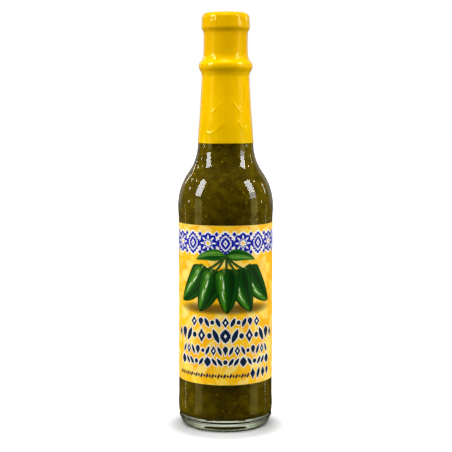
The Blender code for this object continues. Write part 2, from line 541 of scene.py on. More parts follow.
@dataclass(frozen=True)
class SleeveFilm(Finish):
    """Glossy yellow shrink film with streaks drawn out along the neck."""

    name: str = "yellow_sleeve_film"
    colour: Colour = srgb(242, 191, 0)
    deep: Colour = srgb(234, 180, 0)
    # Painted shade: tints that darken the film over the cap and from 147 mm down to the hem.
    painted_cap_shade: Colour = (0.90, 0.87, 0.8)
    cap_shade_heights: Span = (167.5 * MM, 172.5 * MM)
    painted_hem_shade: Colour = (0.89, 0.94, 0.9)
    hem_shade_heights: Span = (147.0 * MM, 135.0 * MM)
    sheen: Colour = (1.0, 0.86, 0.42)
    roughness: Span = (0.03, 0.06)
    streak_scale: float = 900.0
    streak_stretch: Triple = (1.0, 1.0, 0.06)
    streak_relief: float = 0.20
    cloud_scale: float = 140.0
    peel_scale: float = 700.0
    peel_relief: float = 0.18
    relief_depth: float = 0.1 * MM

    def dress(self, graph: Graph, shader: Sockets) -> None:
        """Adds fine streaks and the soft orange peel of shrunk film, with painted shade over the cap and
        towards the hem.
        """
        place = graph.object_place()
        drawn_out = graph.scaled(place, self.streak_stretch)
        streaks = graph.clouds(drawn_out, self.streak_scale, 2.0, 0.35, 0.65)
        clouds = graph.clouds(place, self.cloud_scale, 2.0, 0.35, 0.65)
        share = graph.times(graph.math("ADD", streaks, clouds), 0.5)
        colour = graph.mix(share, self.colour, self.deep)
        height = graph.parts(place)["Z"]
        # Painted shade: the film is darker over the cap and towards the hem.
        for heights, tint in ((self.cap_shade_heights, self.painted_cap_shade), (self.hem_shade_heights, self.painted_hem_shade)):
            colour = graph.mix(graph.remap(height, *heights), colour, graph.tinted(colour, tint))
        graph.feed(shader["Base Color"], colour)
        graph.feed(shader["Roughness"], graph.remap(clouds, 0.0, 1.0, *self.roughness))
        graph.feed(shader["Specular Tint"], self.sheen)
        streaky = {"Strength": self.streak_relief, "Distance": self.relief_depth, "Height": streaks}
        peel = {
            "Strength": self.peel_relief,
            "Distance": self.relief_depth,
            "Height": graph.noise(place, self.peel_scale, 2.0),
            "Normal": graph.add("ShaderNodeBump", streaky).outputs["Normal"],
        }
        graph.feed(shader["Normal"], graph.add("ShaderNodeBump", peel).outputs["Normal"])


@dataclass(frozen=True)
class CapPlastic(Finish):
    """Moulded yellow plastic with a satin skin."""

    name: str = "yellow_cap_plastic"
    colour: Colour = srgb(232, 188, 8)
    deep: Colour = srgb(222, 176, 4)

    def dress(self, graph: Graph, shader: Sockets) -> None:
        """Gives it the fine grain of a mould."""
        mask = self.grain(graph, shader, Scale=2400.0, Smooth=0.32, Rough=0.46, Relief=0.3)
        graph.feed(shader["Base Color"], graph.mix(mask, self.colour, self.deep))


@dataclass(frozen=True)
class PetalLayer:
    """One layer of petals: its slant in degrees, its petals per metre each way, its shift and its tint."""

    slant: float
    size: Triple
    shift: Triple
    tint: Colour
    strength: float


@dataclass(frozen=True)
class LabelPaper(Finish):
    """Coated label paper, printed with overlapping pale petals on a golden ground."""

    name: str = "printed_label_paper"
    radius: float = 21.95 * MM
    bottom: float = 22.44 * MM
    top: float = 95.15 * MM
    gold: Colour = srgb(252, 194, 0)
    amber: Colour = srgb(246, 176, 6)
    pale: Colour = srgb(253, 217, 70)
    cream: Colour = srgb(250, 220, 112)
    ground_scale: float = 90.0
    layers: tuple[PetalLayer, ...] = (
        PetalLayer(38.0, (92.0, 190.0, 1.0), (3.1, 8.2, 0.0), pale, 0.90),
        PetalLayer(62.0, (104.0, 215.0, 1.0), (1.3, 5.5, 0.0), gold, 0.85),
        PetalLayer(-42.0, (90.0, 185.0, 1.0), (7.7, 1.9, 0.0), cream, 0.80),
        PetalLayer(-58.0, (110.0, 225.0, 1.0), (9.4, 3.6, 0.0), amber, 0.60),
        PetalLayer(34.0, (105.0, 215.0, 1.0), (5.8, 6.1, 0.0), cream, 0.70),
    )
    shade: Colour = srgb(70, 42, 0)
    shade_height: float = 57.4 * MM
    shade_reach: Point = (23.0 * MM, 2.6 * MM)
    shade_squareness: float = 4.0
    shade_fade: float = 1.6
    shade_strength: float = 0.88
    edge_width: float = 0.35 * MM
    edge_strengths: Span = (0.7, 0.5)
    worn: Colour = (0.96, 0.96, 0.96)

    def dress(self, graph: Graph, shader: Sockets) -> None:
        """Lays the ground, the petals, the picture's soft shadow and the pale cut edges."""
        grain = self.grain(graph, shader, Scale=1500.0, Smooth=0.42, Rough=0.55, Relief=0.12)
        spots = Wrapped().place(graph, {"Place": graph.object_place(), "Radius": self.radius}).outputs
        flat = spots["Flat"]
        ground = graph.mix(graph.clouds(flat, self.ground_scale, 2.0, 0.35, 0.65), self.gold, self.amber)
        for layer in self.layers:
            values = {"Slant": math.radians(layer.slant), "Size": layer.size, "Shift": layer.shift}
            mask = Petals().place(graph, {"Flat": flat, **values}).outputs["Mask"]
            ground = graph.mix(graph.times(mask, layer.strength), ground, layer.tint)
        ground = graph.mix(self.shadow(graph, spots), ground, self.shade)
        ground = graph.mix(self.cut_edge(graph, spots["Height"]), ground, self.cream)
        graph.feed(shader["Base Color"], graph.mix(grain, ground, graph.tinted(ground, self.worn)))
        graph.feed(shader["Specular IOR Level"], 0.15)

    def shadow(self, graph: Graph, spots: Sockets) -> Socket:
        """Fades a soft shadow out round the foot of the picture.

        Args:
            graph: The material's graph.
            spots: The unrolled place's outputs.

        Returns:
            The shadow's mask.
        """
        along = graph.math("ABSOLUTE", graph.math("DIVIDE", spots["Along"], self.shade_reach[0]))
        rise = graph.math("SUBTRACT", spots["Height"], self.shade_height)
        up = graph.math("DIVIDE", rise, self.shade_reach[1])
        away = graph.math("ADD", graph.math("POWER", along, self.shade_squareness), graph.times(up, up))
        return graph.remap(away, 0.0, self.shade_fade, self.shade_strength, 0.0)

    def cut_edge(self, graph: Graph, height: Socket) -> Socket:
        """Finds the narrow pale strip along the paper's upper and lower edge.

        Args:
            graph: The material's graph.
            height: The height on the bottle.

        Returns:
            The strip's mask.
        """
        upper = graph.remap(height, self.top - self.edge_width, self.top, 0.0, self.edge_strengths[0])
        lower = graph.remap(height, self.bottom + self.edge_width, self.bottom, 0.0, self.edge_strengths[1])
        return graph.math("MAXIMUM", upper, lower)


@dataclass(frozen=True)
class PrintInk(Finish):
    """One printed ink, a little uneven where the paper takes less of it."""

    name: str = "print_ink"
    colour: Colour = srgb(0, 22, 150)
    cover: float = 0.9
    paper_glow: float = 0.002

    def dress(self, graph: Graph, shader: Sockets) -> None:
        """Thins the ink here and there."""
        mask = self.grain(graph, shader, Scale=1800.0, Smooth=0.40, Rough=0.52, Relief=0.08)
        thin = tuple(value * self.cover + self.paper_glow for value in self.colour)
        graph.feed(shader["Base Color"], graph.mix(mask, self.colour, thin))
        graph.feed(shader["Specular IOR Level"], 0.15)


@dataclass(frozen=True)
class PaintedSkin(Finish):
    """A painted fruit or leaf, shaded across and along its own UV map."""

    name: str = "painted_skin"
    dark: Colour = srgb(0, 34, 0)
    middle: Colour = srgb(10, 76, 2)
    light: Colour = srgb(70, 138, 10)
    gleam: Colour = srgb(236, 248, 206)
    gleam_place: float = 0.33
    gleam_edges: Span = (0.09, 0.02)
    gleam_strength: float = 0.9
    brush: Point = (9.0, 1.6)
    brush_scale: float = 1.3
    brush_bend: float = 0.30
    gap_scale: float = 2.6
    rib: float = 0.0
    rib_edges: Span = (0.07, 0.03)

    def dress(self, graph: Graph, shader: Sockets) -> None:
        """Shades the form from its dark sides to a gleam, with painterly streaks along it."""
        uv = graph.parts(graph.add("ShaderNodeTexCoord", {}).outputs["UV"])
        across, along = uv["X"], uv["Y"]
        strokes = {0: graph.times(across, self.brush[0]), 1: graph.times(along, self.brush[1])}
        brushed = graph.add("ShaderNodeCombineXYZ", strokes).outputs[0]
        streaks = graph.math("SUBTRACT", graph.noise(brushed, self.brush_scale, 2.0), 0.5)
        stops = (
            (0.0, self.dark), (0.10, self.middle), (0.30, self.light), (0.46, self.middle),
            (0.72, self.dark), (0.90, self.middle), (1.0, self.dark),
        )
        colour = graph.ramp(graph.math("ADD", across, graph.times(streaks, self.brush_bend)), stops)
        tip, base = graph.remap(along, 0.86, 1.0, 0.0, 0.7), graph.remap(along, 0.12, 0.0, 0.0, 0.8)
        colour = graph.mix(graph.math("MAXIMUM", tip, base), colour, self.dark)
        colour = graph.mix(self.gleam_mask(graph, across, along, brushed), colour, self.gleam)
        if self.rib:
            away = graph.math("ABSOLUTE", graph.math("SUBTRACT", across, 0.5))
            colour = graph.mix(graph.remap(away, *self.rib_edges, 0.0, self.rib), colour, self.light)
        self.grain(graph, shader, Scale=1800.0, Smooth=0.38, Rough=0.50, Relief=0.08)
        graph.feed(shader["Base Color"], colour)
        graph.feed(shader["Specular IOR Level"], 0.15)

    def gleam_mask(self, graph: Graph, across: Socket, along: Socket, brushed: Socket) -> Socket:
        """Draws a broken streak of light along the form, away from its ends.

        Args:
            graph: The material's graph.
            across, along: The place on the form, each from 0 to 1.
            brushed: The place, stretched like brush strokes.

        Returns:
            The streak's mask.
        """
        away = graph.math("ABSOLUTE", graph.math("SUBTRACT", across, self.gleam_place))
        streak = graph.remap(away, *self.gleam_edges, 0.0, self.gleam_strength)
        broken = graph.clouds(brushed, self.gap_scale, 1.0, 0.52, 0.60)
        length = graph.times(graph.remap(along, 0.12, 0.22), graph.remap(along, 0.80, 0.62))
        return graph.times(graph.times(streak, broken), length)


@dataclass(frozen=True)
class FloorPaint(Finish):
    """Matt white studio floor, which glows white away from the bottle like a lit backdrop; its glow fades out
    round the foot, which paints part of the contact shadow.
    """

    name: str = "studio_floor"
    colour: Colour = (0.45, 0.45, 0.45)
    shine: Colour = (1.0, 1.0, 1.0)
    dust: float = 0.99
    glow: Span = (0.0, 1.0)
    shade_centre: Triple = (0.0, -7.0 * MM, 0.0)
    reach: Span = (20.0 * MM, 38.0 * MM)

    def dress(self, graph: Graph, shader: Sockets) -> None:
        """Keeps it plain, with a faint grain, and brightens it with the distance, which paints the contact
        shadow's shape over the real occlusion.
        """
        mask = self.grain(graph, shader, Scale=40.0, Smooth=0.8, Rough=0.95, Relief=0.0)
        darker = tuple(self.dust * value for value in self.colour)
        ends = {0: graph.object_place(), 1: self.shade_centre}
        away = graph.add("ShaderNodeVectorMath", ends, operation="DISTANCE").outputs["Value"]
        graph.feed(shader["Base Color"], graph.mix(mask, self.colour, darker))
        graph.feed(shader["Specular IOR Level"], 0.0)
        graph.feed(shader["Emission Color"], self.shine)
        # Painted shadow: no glow near the bottle, centred a little in front of it.
        graph.feed(shader["Emission Strength"], graph.remap(away, *self.reach, *self.glow))


class Ink(Enum):
    """The print's plain inks."""

    WHITE = PrintInk("ink_white", srgb(244, 242, 236))
    BLUE = PrintInk("ink_blue", srgb(6, 24, 158))
    NAVY = PrintInk("ink_navy", srgb(2, 30, 62))
    GOLD = PrintInk("ink_gold", srgb(252, 198, 20))


class Piece:
    """One piece in the making: mesh steps first, then an object that rides on the bottle."""

    def __init__(self, name: str) -> None:
        """Starts an empty mesh for the piece of that name."""
        self.name = name
        self.mesh = bmesh.new()

    def turn(self, outline: Outline, segments: int) -> None:
        """Spins an outline round Z, and closes the seam and the poles.

        Args:
            outline: The points, as radius and height.
            segments: The number of steps round.
        """
        points = [self.mesh.verts.new((radius, 0.0, height)) for radius, height in outline]
        lines = [self.mesh.edges.new(pair) for pair in zip(points, points[1:])]
        bmesh.ops.spin(
            self.mesh, geom=points + lines, cent=(0, 0, 0), axis=(0, 0, 1), dvec=(0, 0, 0),
            angle=math.tau, steps=segments, use_merge=True,
        )
        bmesh.ops.remove_doubles(self.mesh, verts=self.mesh.verts[:], dist=MERGE_DISTANCE)
        bmesh.ops.recalc_face_normals(self.mesh, faces=self.mesh.faces[:])

    def thicken(self, thickness: float) -> None:
        """Gives an open surface its thickness, behind its faces.

        Args:
            thickness: The wall's thickness.
        """
        bmesh.ops.solidify(self.mesh, geom=self.mesh.faces[:], thickness=thickness)
        bmesh.ops.recalc_face_normals(self.mesh, faces=self.mesh.faces[:])

    def places(self) -> np.ndarray:
        """Returns each vertex's place, one row each."""
        return np.array([vertex.co[:] for vertex in self.mesh.verts])

    def move_to(self, places: np.ndarray) -> None:
        """Puts each vertex at its new place, one row each."""
        for vertex, place in zip(self.mesh.verts, places):
            vertex.co = place

    def place(self, finish: Finish, slot: str = "", replaces: str = "") -> bpy.types.Object:
        """Makes the object, and lets it ride on the bottle.

        Args:
            finish: What its surface looks like.
            slot: The record's material slot, if it takes its finish from one; not used.
            replaces: The CAD node that it stands for, if any.

        Returns:
            The object.
        """
        data = bpy.data.meshes.new(self.name)
        self.mesh.to_mesh(data)
        self.mesh.free()
        data.materials.append(finish.material())
        data.shade_smooth()
        data.set_sharp_from_angle(angle=SMOOTH_ANGLE)
        thing = bpy.data.objects.new(self.name, data)
        bpy.context.scene.collection.objects.link(thing)
        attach(thing, BODY)
        if replaces:
            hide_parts(replaces)
        LOG.info("%s: %d faces", self.name, len(data.polygons))
        return thing


@dataclass
class GlassBottle:
    """The clear glass: a pushed-up base, a heel bead, the label panel, the shoulder and the neck."""

    bead_radius: float = 22.10 * MM
    panel_radius: float = 21.87 * MM
    panel_bottom: float = 14.0 * MM
    panel_top: float = 98.0 * MM
    heel_bead_radius: float = 22.03 * MM
    heel_height: float = 9.6 * MM
    foot_radius: float = 18.8 * MM
    foot_inner_radius: float = 16.6 * MM
    push_up: float = 2.2 * MM
    base_thickness: float = 4.3 * MM
    wall: float = 3.0 * MM
    shoulder_base: float = 102.5 * MM
    bulge_radius: float = 27.0 * MM
    sweep_radius: float = 22.9 * MM
    shoulder_turn: float = 35.5
    neck_taper: float = 3.8
    inner_corner: float = 4.5 * MM
    inner_floor_edge: float = 5.0 * MM
    bore_base: Point = (9.9 * MM, 131.65 * MM)
    bore_top: Point = (7.6 * MM, 162.0 * MM)
    throat: Point = (5.6 * MM, 168.0 * MM)
    mouth_radius: float = 8.35 * MM
    lip_radius: float = 0.6 * MM
    segments: int = 320
    seam_height: float = 0.035 * MM
    seam_width: float = 0.3 * MM
    knurls: int = 64
    knurl_depth: float = 0.42 * MM
    knurl_height: float = 1.3 * MM
    parting_height: float = 4.1 * MM
    parting_rise: float = 0.26 * MM
    parting_width: float = 0.50 * MM
    wave_height: float = 0.006 * MM
    bead_slack: float = 0.02 * MM
    knurl_margin: float = 2.0 * MM
    foot: tuple[Point, ...] = (
        (16.2 * MM, 0.5 * MM), (15.2 * MM, 0.9 * MM), (12.4 * MM, 1.45 * MM), (7.0 * MM, 2.05 * MM),
    )
    floor_dish: tuple[Point, ...] = ((0.5, -0.6 * MM), (0.25, -0.15 * MM), (0.0, 0.0))
    outer_heights: Triple = (0.0, 131.0 * MM, 132.0 * MM)
    outer_radii: Triple = (19.5 * MM, 11.5 * MM, 99.0)
    heel_steps: int = 44
    spacing: float = 0.8 * MM
    foot_spacing: float = 0.5 * MM

    def shoulder(self, bulge_radius: float, sweep_radius: float) -> Outline:
        """Runs from the neck down to the bead, on the outer or the inner face.

        Args:
            bulge_radius: The radius of the arc that bulges out.
            sweep_radius: The radius of the arc that sweeps in.

        Returns:
            The shoulder's points.
        """
        turn = math.radians(self.shoulder_turn)
        centre = (self.bead_radius - self.bulge_radius, self.shoulder_base)
        reach = self.bulge_radius + self.sweep_radius
        sweep_centre = (centre[0] + reach * math.cos(turn), centre[1] + reach * math.sin(turn))
        sweep = arc(sweep_centre, sweep_radius, 180 + self.neck_taper, 180 + self.shoulder_turn, 20)
        return sweep[:-1] + arc(centre, bulge_radius, self.shoulder_turn, 0, 24)

    def inside(self) -> Outline:
        """Returns the inner face, from the mouth down to the middle of the floor."""
        wall_radius = self.bead_radius - self.wall
        corner = (wall_radius - self.inner_corner, self.inner_floor_edge + self.inner_corner)
        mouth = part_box("glass_bottle")[1].z
        middle = self.push_up + self.base_thickness
        return (
            [(self.throat[0], mouth - self.lip_radius), self.throat, self.bore_top, self.bore_base]
            + self.shoulder(self.bulge_radius - self.wall, self.sweep_radius + self.wall)[1:]
            + arc(corner, self.inner_corner, 0, -90, 12)
            + [(wall_radius * share, middle + rise) for share, rise in self.floor_dish]
        )

    def outside(self, neck: Outline) -> Outline:
        """Runs down the outer face to the middle of the pushed-up base.

        Args:
            neck: The stretch that the sleeve covers, from the cap down to the hem.

        Returns:
            The outer face's points.
        """
        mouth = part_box("glass_bottle")[1].z
        lip = (self.mouth_radius - self.lip_radius, mouth - self.lip_radius)
        turns = [math.radians(90 * (1 - i / self.heel_steps)) for i in range(self.heel_steps + 1)]
        reach = self.heel_bead_radius - self.foot_radius
        heel = [(self.foot_radius + reach * math.sin(t), self.heel_height * (1 - math.cos(t))) for t in turns]
        panel = smooth(
            [
                (self.bead_radius - 0.01 * MM, self.shoulder_base - 1.3 * MM),
                (self.panel_radius + 0.04 * MM, self.panel_top),
                (self.panel_radius, self.panel_top - 2.0 * MM),
            ],
            self.spacing,
        )
        beads = smooth(
            [
                (self.panel_radius, self.panel_bottom + 2.0 * MM),
                (self.panel_radius, self.panel_bottom),
                (self.heel_bead_radius - 0.03 * MM, self.heel_height + 1.9 * MM),
                (self.heel_bead_radius, self.heel_height + 0.6 * MM),
            ],
            self.spacing,
        )
        foot = smooth([(self.foot_inner_radius, 0.0), *self.foot, (0.0, self.push_up)], self.foot_spacing)
        return (
            [(self.throat[0] + self.lip_radius, mouth)]
            + arc(lip, self.lip_radius, 90, 0, 5)
            + neck
            + self.shoulder(self.bulge_radius, self.sweep_radius)
            + panel
            + beads
            + heel
            + foot
        )

    def build(self, neck: Outline) -> None:
        """Makes the glass, with its mould seams and its knurled foot.

        Args:
            neck: The outer face that the sleeve covers, from the cap down to the hem.
        """
        piece = Piece("bottle_glass")
        piece.turn(self.inside()[::-1] + self.outside(neck), self.segments)
        places = piece.places()
        height = places[:, 2].copy()
        radius = np.hypot(places[:, 0], places[:, 1])
        angle = np.arctan2(places[:, 0], -places[:, 1])
        outer = radius > np.interp(height, self.outer_heights, self.outer_radii)
        rise = outer * self.relief(angle, height, radius)
        new_radius = np.minimum(radius + rise, self.bead_radius + self.bead_slack)
        scale = np.where(radius > MERGE_DISTANCE, new_radius / np.maximum(radius, MERGE_DISTANCE), 1.0)
        places[:, :2] *= scale[:, None]
        under = radius > self.foot_inner_radius - self.knurl_margin
        low = np.clip(1 - height / self.knurl_height, 0, 1) * under
        places[:, 2] += low * self.knurl_depth * (0.5 - 0.5 * np.cos(self.knurls * angle))
        piece.move_to(places)
        piece.place(ClearGlass(), "clear_glass", "glass_bottle")

    def relief(self, angle: np.ndarray, height: np.ndarray, radius: np.ndarray) -> np.ndarray:
        """Works out how far the outer face stands off: mould seams, a slight waviness and the parting line.

        Args:
            angle: Each point's angle from the front, in radians.
            height: Each point's height.
            radius: Each point's radius.

        Returns:
            Each point's rise.
        """
        seam = np.exp(-(((np.abs(angle) - math.pi / 2) * radius / self.seam_width) ** 2))
        wave = self.wave_height * (np.sin(5 * angle + 60 * height) + np.sin(9 * angle - 95 * height))
        parting = np.exp(-(((height - self.parting_height) / self.parting_width) ** 2))
        return self.seam_height * seam + wave + self.parting_rise * parting


@dataclass(frozen=True)
class FleckKind:
    """One kind of bit in the sauce: how many there are, their widths in millimetres and their look."""

    name: str
    count: int
    widths: Span
    finish: Fleck


@dataclass
class Sauce:
    """The sauce, which reaches just into the glass so that no air shows between them, and its flecks."""

    into_wall: float = 0.08 * MM
    segments: int = 128
    seed: int = 7
    flatness: float = 0.35
    slimness: Span = (0.35, 0.9)
    flecks: tuple[FleckKind, ...] = (
        FleckKind("seed_flecks", 512, (0.6, 1.5), Fleck("fleck_seed", srgb(160, 122, 10), srgb(112, 88, 2))),
        FleckKind("fine_flecks", 4096, (0.25, 0.6), Fleck("fleck_fine", srgb(150, 116, 6), srgb(104, 84, 0))),
        FleckKind("herb_flecks", 1024, (0.3, 0.9), Fleck("fleck_herb", srgb(34, 34, 0), srgb(60, 54, 0))),
    )

    def outline(self, inside: Outline) -> Outline:
        """Follows the inner face of the glass up to the fill level.

        Args:
            inside: The inner face of the glass, from the mouth down.

        Returns:
            The sauce's outline, from the middle of its surface down to the middle of its floor.
        """
        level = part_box("sauce")[1].z
        heights = [height for _, height in inside]
        wall = [point for point in inside[2:] if point[1] < level]
        radius = float(np.interp(level, heights[2:4][::-1], [inside[3][0], inside[2][0]]))
        below = offset([(radius, level)] + wall, self.into_wall)
        return [(0.0, level)] + below[:-1] + [(0.0, below[-1][1])]

    def build(self, inside: Outline) -> None:
        """Makes the sauce and the flecks that lie against the glass.

        Args:
            inside: The inner face of the glass, from the mouth down.
        """
        outline = self.outline(inside)
        piece = Piece("sauce_body")
        piece.turn(outline, self.segments)
        piece.place(OliveSauce(), "green_sauce", "sauce")
        chance = random.Random(self.seed)
        for kind in self.flecks:
            self.scatter(kind, outline[1:-1], chance)

    def scatter(self, kind: FleckKind, side: Outline, chance: random.Random) -> None:
        """Lays small uneven bits on the sauce's side, half sunk in it, as one piece.

        Args:
            kind: What bits they are.
            side: The sauce's side, from its surface down.
            chance: The seeded source of random numbers.
        """
        piece = Piece(kind.name)
        bmesh.ops.create_icosphere(piece.mesh, subdivisions=1, radius=1.0)
        ball = np.column_stack([piece.places(), np.ones(len(piece.mesh.verts))])
        while len(piece.mesh.verts) < kind.count * len(ball):
            whole = piece.mesh.verts[:] + piece.mesh.edges[:] + piece.mesh.faces[:]
            bmesh.ops.duplicate(piece.mesh, geom=whole)
        lengths = [math.dist(a, b) * (a[0] + b[0]) for a, b in zip(side, side[1:])]
        places = []
        for _ in range(len(piece.mesh.verts) // len(ball)):
            index = chance.choices(range(len(lengths)), lengths)[0]
            upper, lower = Vector(side[index]), Vector(side[index + 1])
            spot = upper.lerp(lower, chance.random())
            lean = math.atan2(upper.y - lower.y, lower.x - upper.x)
            width = chance.uniform(*kind.widths) * MM / 2
            shape = (width * chance.uniform(*self.slimness), width, width * self.flatness)
            matrix = (
                Matrix.Rotation(chance.uniform(0, math.tau), 4, "Z")
                @ Matrix.Translation((spot.x, 0.0, spot.y))
                @ Matrix.Rotation(lean, 4, "Y")
                @ Matrix.Rotation(chance.uniform(0, math.pi), 4, "Z")
                @ Matrix.Diagonal((*shape, 1.0))
            )
            places.append((ball @ np.array(matrix).T)[:, :3])
        piece.move_to(np.concatenate(places))
        piece.place(kind.finish, "green_sauce")


@dataclass(frozen=True)
class Crease:
    """A low ridge in the film, between two points of angle in degrees and height in millimetres."""

    start: Point
    end: Point
    rise: float = 0.15 * MM
    width: float = 0.36 * MM
    end_fade: float = 1.15
    film_heights: Span = (130, 191)
    film_radii: Span = (12.6, 10.6)

    def lift(self, angle: np.ndarray, height: np.ndarray, radius: np.ndarray) -> np.ndarray:
        """Works out how far the ridge lifts the film.

        Args:
            angle: Each point's angle from the front, in radians.
            height: Each point's height.
            radius: Each point's radius.

        Returns:
            Each point's rise.
        """
        middle = math.radians((self.start[0] + self.end[0]) / 2)
        around = (angle - middle + math.pi) % math.tau - math.pi
        middle_height = (self.start[1] + self.end[1]) / 2
        mean_radius = float(np.interp(middle_height, self.film_heights, self.film_radii)) * MM
        half_width = math.radians(self.end[0] - self.start[0]) / 2 * mean_radius
        half = Vector((half_width, (self.end[1] - self.start[1]) / 2 * MM))
        x, z = around * radius, height - middle_height * MM
        along = (x * half.x + z * half.y) / half.length_squared
        across = (x * half.y - z * half.x) / half.length
        fade = np.clip(self.end_fade - np.abs(along) ** 3, 0, 1)
        return self.rise * fade * np.exp(-((across / self.width) ** 2))


@dataclass
class NeckSleeve:
    """The shrunk film over the cap and the neck, its creases, its seam and its folded-over rim."""

    film: float = 0.09 * MM
    slack: float = 0.02 * MM
    head_corner: float = 2.5 * MM
    head_radius: float = 10.9 * MM
    opening_radius: float = 7.8 * MM
    spacing: float = 0.40 * MM
    segments: int = 288
    seam_half_width: float = 2.2 * MM
    seam_rise: float = 0.06 * MM
    seam_edge: float = 0.12 * MM
    ripple_height: float = 0.009 * MM
    fold_depth: float = 0.9 * MM
    fold_reach: float = 1.6 * MM
    fold_waver: float = 0.16 * MM
    pucker: float = 0.05 * MM
    hem_reach: float = 3.0 * MM
    hem_waver: float = 0.05 * MM
    seed: int = 11
    creases: tuple[Crease, ...] = (
        Crease((-3, 150.9), (-38, 144.5)),
        Crease((14, 150.9), (39, 144.5)),
        Crease((-1, 141.3), (-30, 136.0)),
        Crease((-44, 136.9), (-33, 135.8)),
        Crease((-33, 135.8), (-28, 137.0)),
        Crease((27, 142.1), (43, 136.6)),
        Crease((-59, 143.9), (-52, 143.2)),
        Crease((-21, 190.2), (-25.5, 184.6), 0.20 * MM, 0.30 * MM),
        Crease((35, 190.2), (43, 186.6), 0.20 * MM, 0.30 * MM),
        Crease((-34.5, 168.8), (-33, 172.4), 0.10 * MM, 0.26 * MM),
        Crease((28, 168.8), (29, 172.4), 0.10 * MM, 0.26 * MM),
        Crease((37, 168.8), (36, 172.0), 0.10 * MM, 0.26 * MM),
        Crease((-30, 171.6), (-22, 169.4)),
        Crease((30, 171.6), (21, 169.4)),
        Crease((-40, 163.6), (-31, 162.2)),
        Crease((40, 163.6), (32, 162.2)),
    )
    random_creases: int = 46

    def outline(self) -> Outline:
        """Returns the film's outer face, from the opening over the cap down to the hem."""
        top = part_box("neck_sleeve")[1].z
        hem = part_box("neck_sleeve")[0].z
        corner = (self.head_radius - self.head_corner, top - self.head_corner)
        head = [(self.opening_radius, top - 0.12 * MM), (self.opening_radius + 0.25 * MM, top - 0.02 * MM)]
        head += arc(corner, self.head_corner, 90, 6, 8)
        below = [
            (11.02, 185.6), (11.07, 184.35), (10.92, 183.6), (10.62, 183.05), (10.3, 182.5), (10.14, 181.7),
            (10.1, 180.0), (10.1, 176.0), (10.17, 172.6), (10.3, 171.4), (10.56, 170.35), (11.05, 169.35),
            (11.86, 168.5), (12.27, 167.7), (12.37, 166.8), (12.27, 165.8), (11.84, 164.9), (11.34, 164.1),
            (11.05, 163.0), (10.94, 162.0), (11.24, 155.7), (11.57, 150.2), (11.92, 144.7), (12.36, 139.1),
        ]
        lower = [(radius * MM, height * MM) for radius, height in below]
        return smooth(head + lower + [(12.82 * MM, 133.6 * MM), (12.95 * MM, hem)], self.spacing)

    def covered(self, top: float, bottom: float) -> Outline:
        """Returns the face that the film lies on.

        Args:
            top, bottom: The heights between which it is wanted.
        """
        face = offset(self.outline(), -self.film - self.slack)
        return [point for point in face if bottom <= point[1] <= top]

    def relief(self, angle: np.ndarray, height: np.ndarray, radius: np.ndarray) -> np.ndarray:
        """Works out how far the film stands off: creases, ripples and the seam at the back.

        Args:
            angle: Each point's angle from the front, in radians.
            height: Each point's height.
            radius: Each point's radius.

        Returns:
            Each point's rise.
        """
        rise = np.zeros_like(angle)
        for crease in self.all_creases():
            rise += crease.lift(angle, height, radius)
        ripple = np.sin(7 * angle + 70 * height) + np.sin(11 * angle - 130 * height + 1)
        rise += self.ripple_height * (ripple + 0.6 * np.sin(23 * angle + 260 * height))
        back = (angle + math.tau) % math.tau - math.pi
        seam = 1 / (1 + np.exp((np.abs(back * radius) - self.seam_half_width) / self.seam_edge))
        return rise + self.seam_rise * seam

    def all_creases(self) -> list[Crease]:
        """Adds faint random creases round the sides and the back, and returns them all."""
        chance = random.Random(self.seed)
        creases = list(self.creases)
        for _ in range(self.random_creases):
            start = chance.uniform(50, 310)
            heights = (chance.uniform(134, 160), chance.uniform(134, 160), chance.uniform(172, 186))
            low = chance.choice(heights)
            lean = chance.choice((-1, 1)) * chance.uniform(10, 40)
            length = chance.uniform(2, 8)
            rise = chance.uniform(0.02, 0.07) * MM
            creases.append(Crease((start, low), (start + lean, low + length), rise))
        return creases

    def build(self) -> None:
        """Makes the film as a thin closed skin."""
        piece = Piece("sleeve_film")
        piece.turn(self.outline(), self.segments)
        places = piece.places()
        radius = np.hypot(places[:, 0], places[:, 1])
        angle = np.arctan2(places[:, 0], -places[:, 1])
        height = places[:, 2].copy()
        top, hem = height.max(), height.min()
        rise = self.relief(angle, height, radius)
        over = np.clip((height - (top - self.fold_depth)) / self.fold_depth, 0, 1)
        inward = np.clip((self.opening_radius + self.fold_reach - radius) / self.fold_reach, 0, 1) * over
        waver = self.fold_waver * np.sin(5 * angle) * np.sin(13 * angle + 2)
        places[:, :2] *= ((radius + rise * (1 - over) + inward * waver) / radius)[:, None]
        pucker = np.sin(31 * angle + 2 * np.sin(3 * angle)) + 0.7 * np.sin(17 * angle + 1)
        places[:, 2] -= inward * self.pucker * (1 + pucker / 1.7)
        low = np.clip((hem + self.hem_reach - height) / self.hem_reach, 0, 1)
        places[:, 2] += low * self.hem_waver * (1 + np.sin(3 * angle + 1))
        piece.move_to(places)
        piece.thicken(self.film)
        piece.place(SleeveFilm(), "sleeve_film", "neck_sleeve")


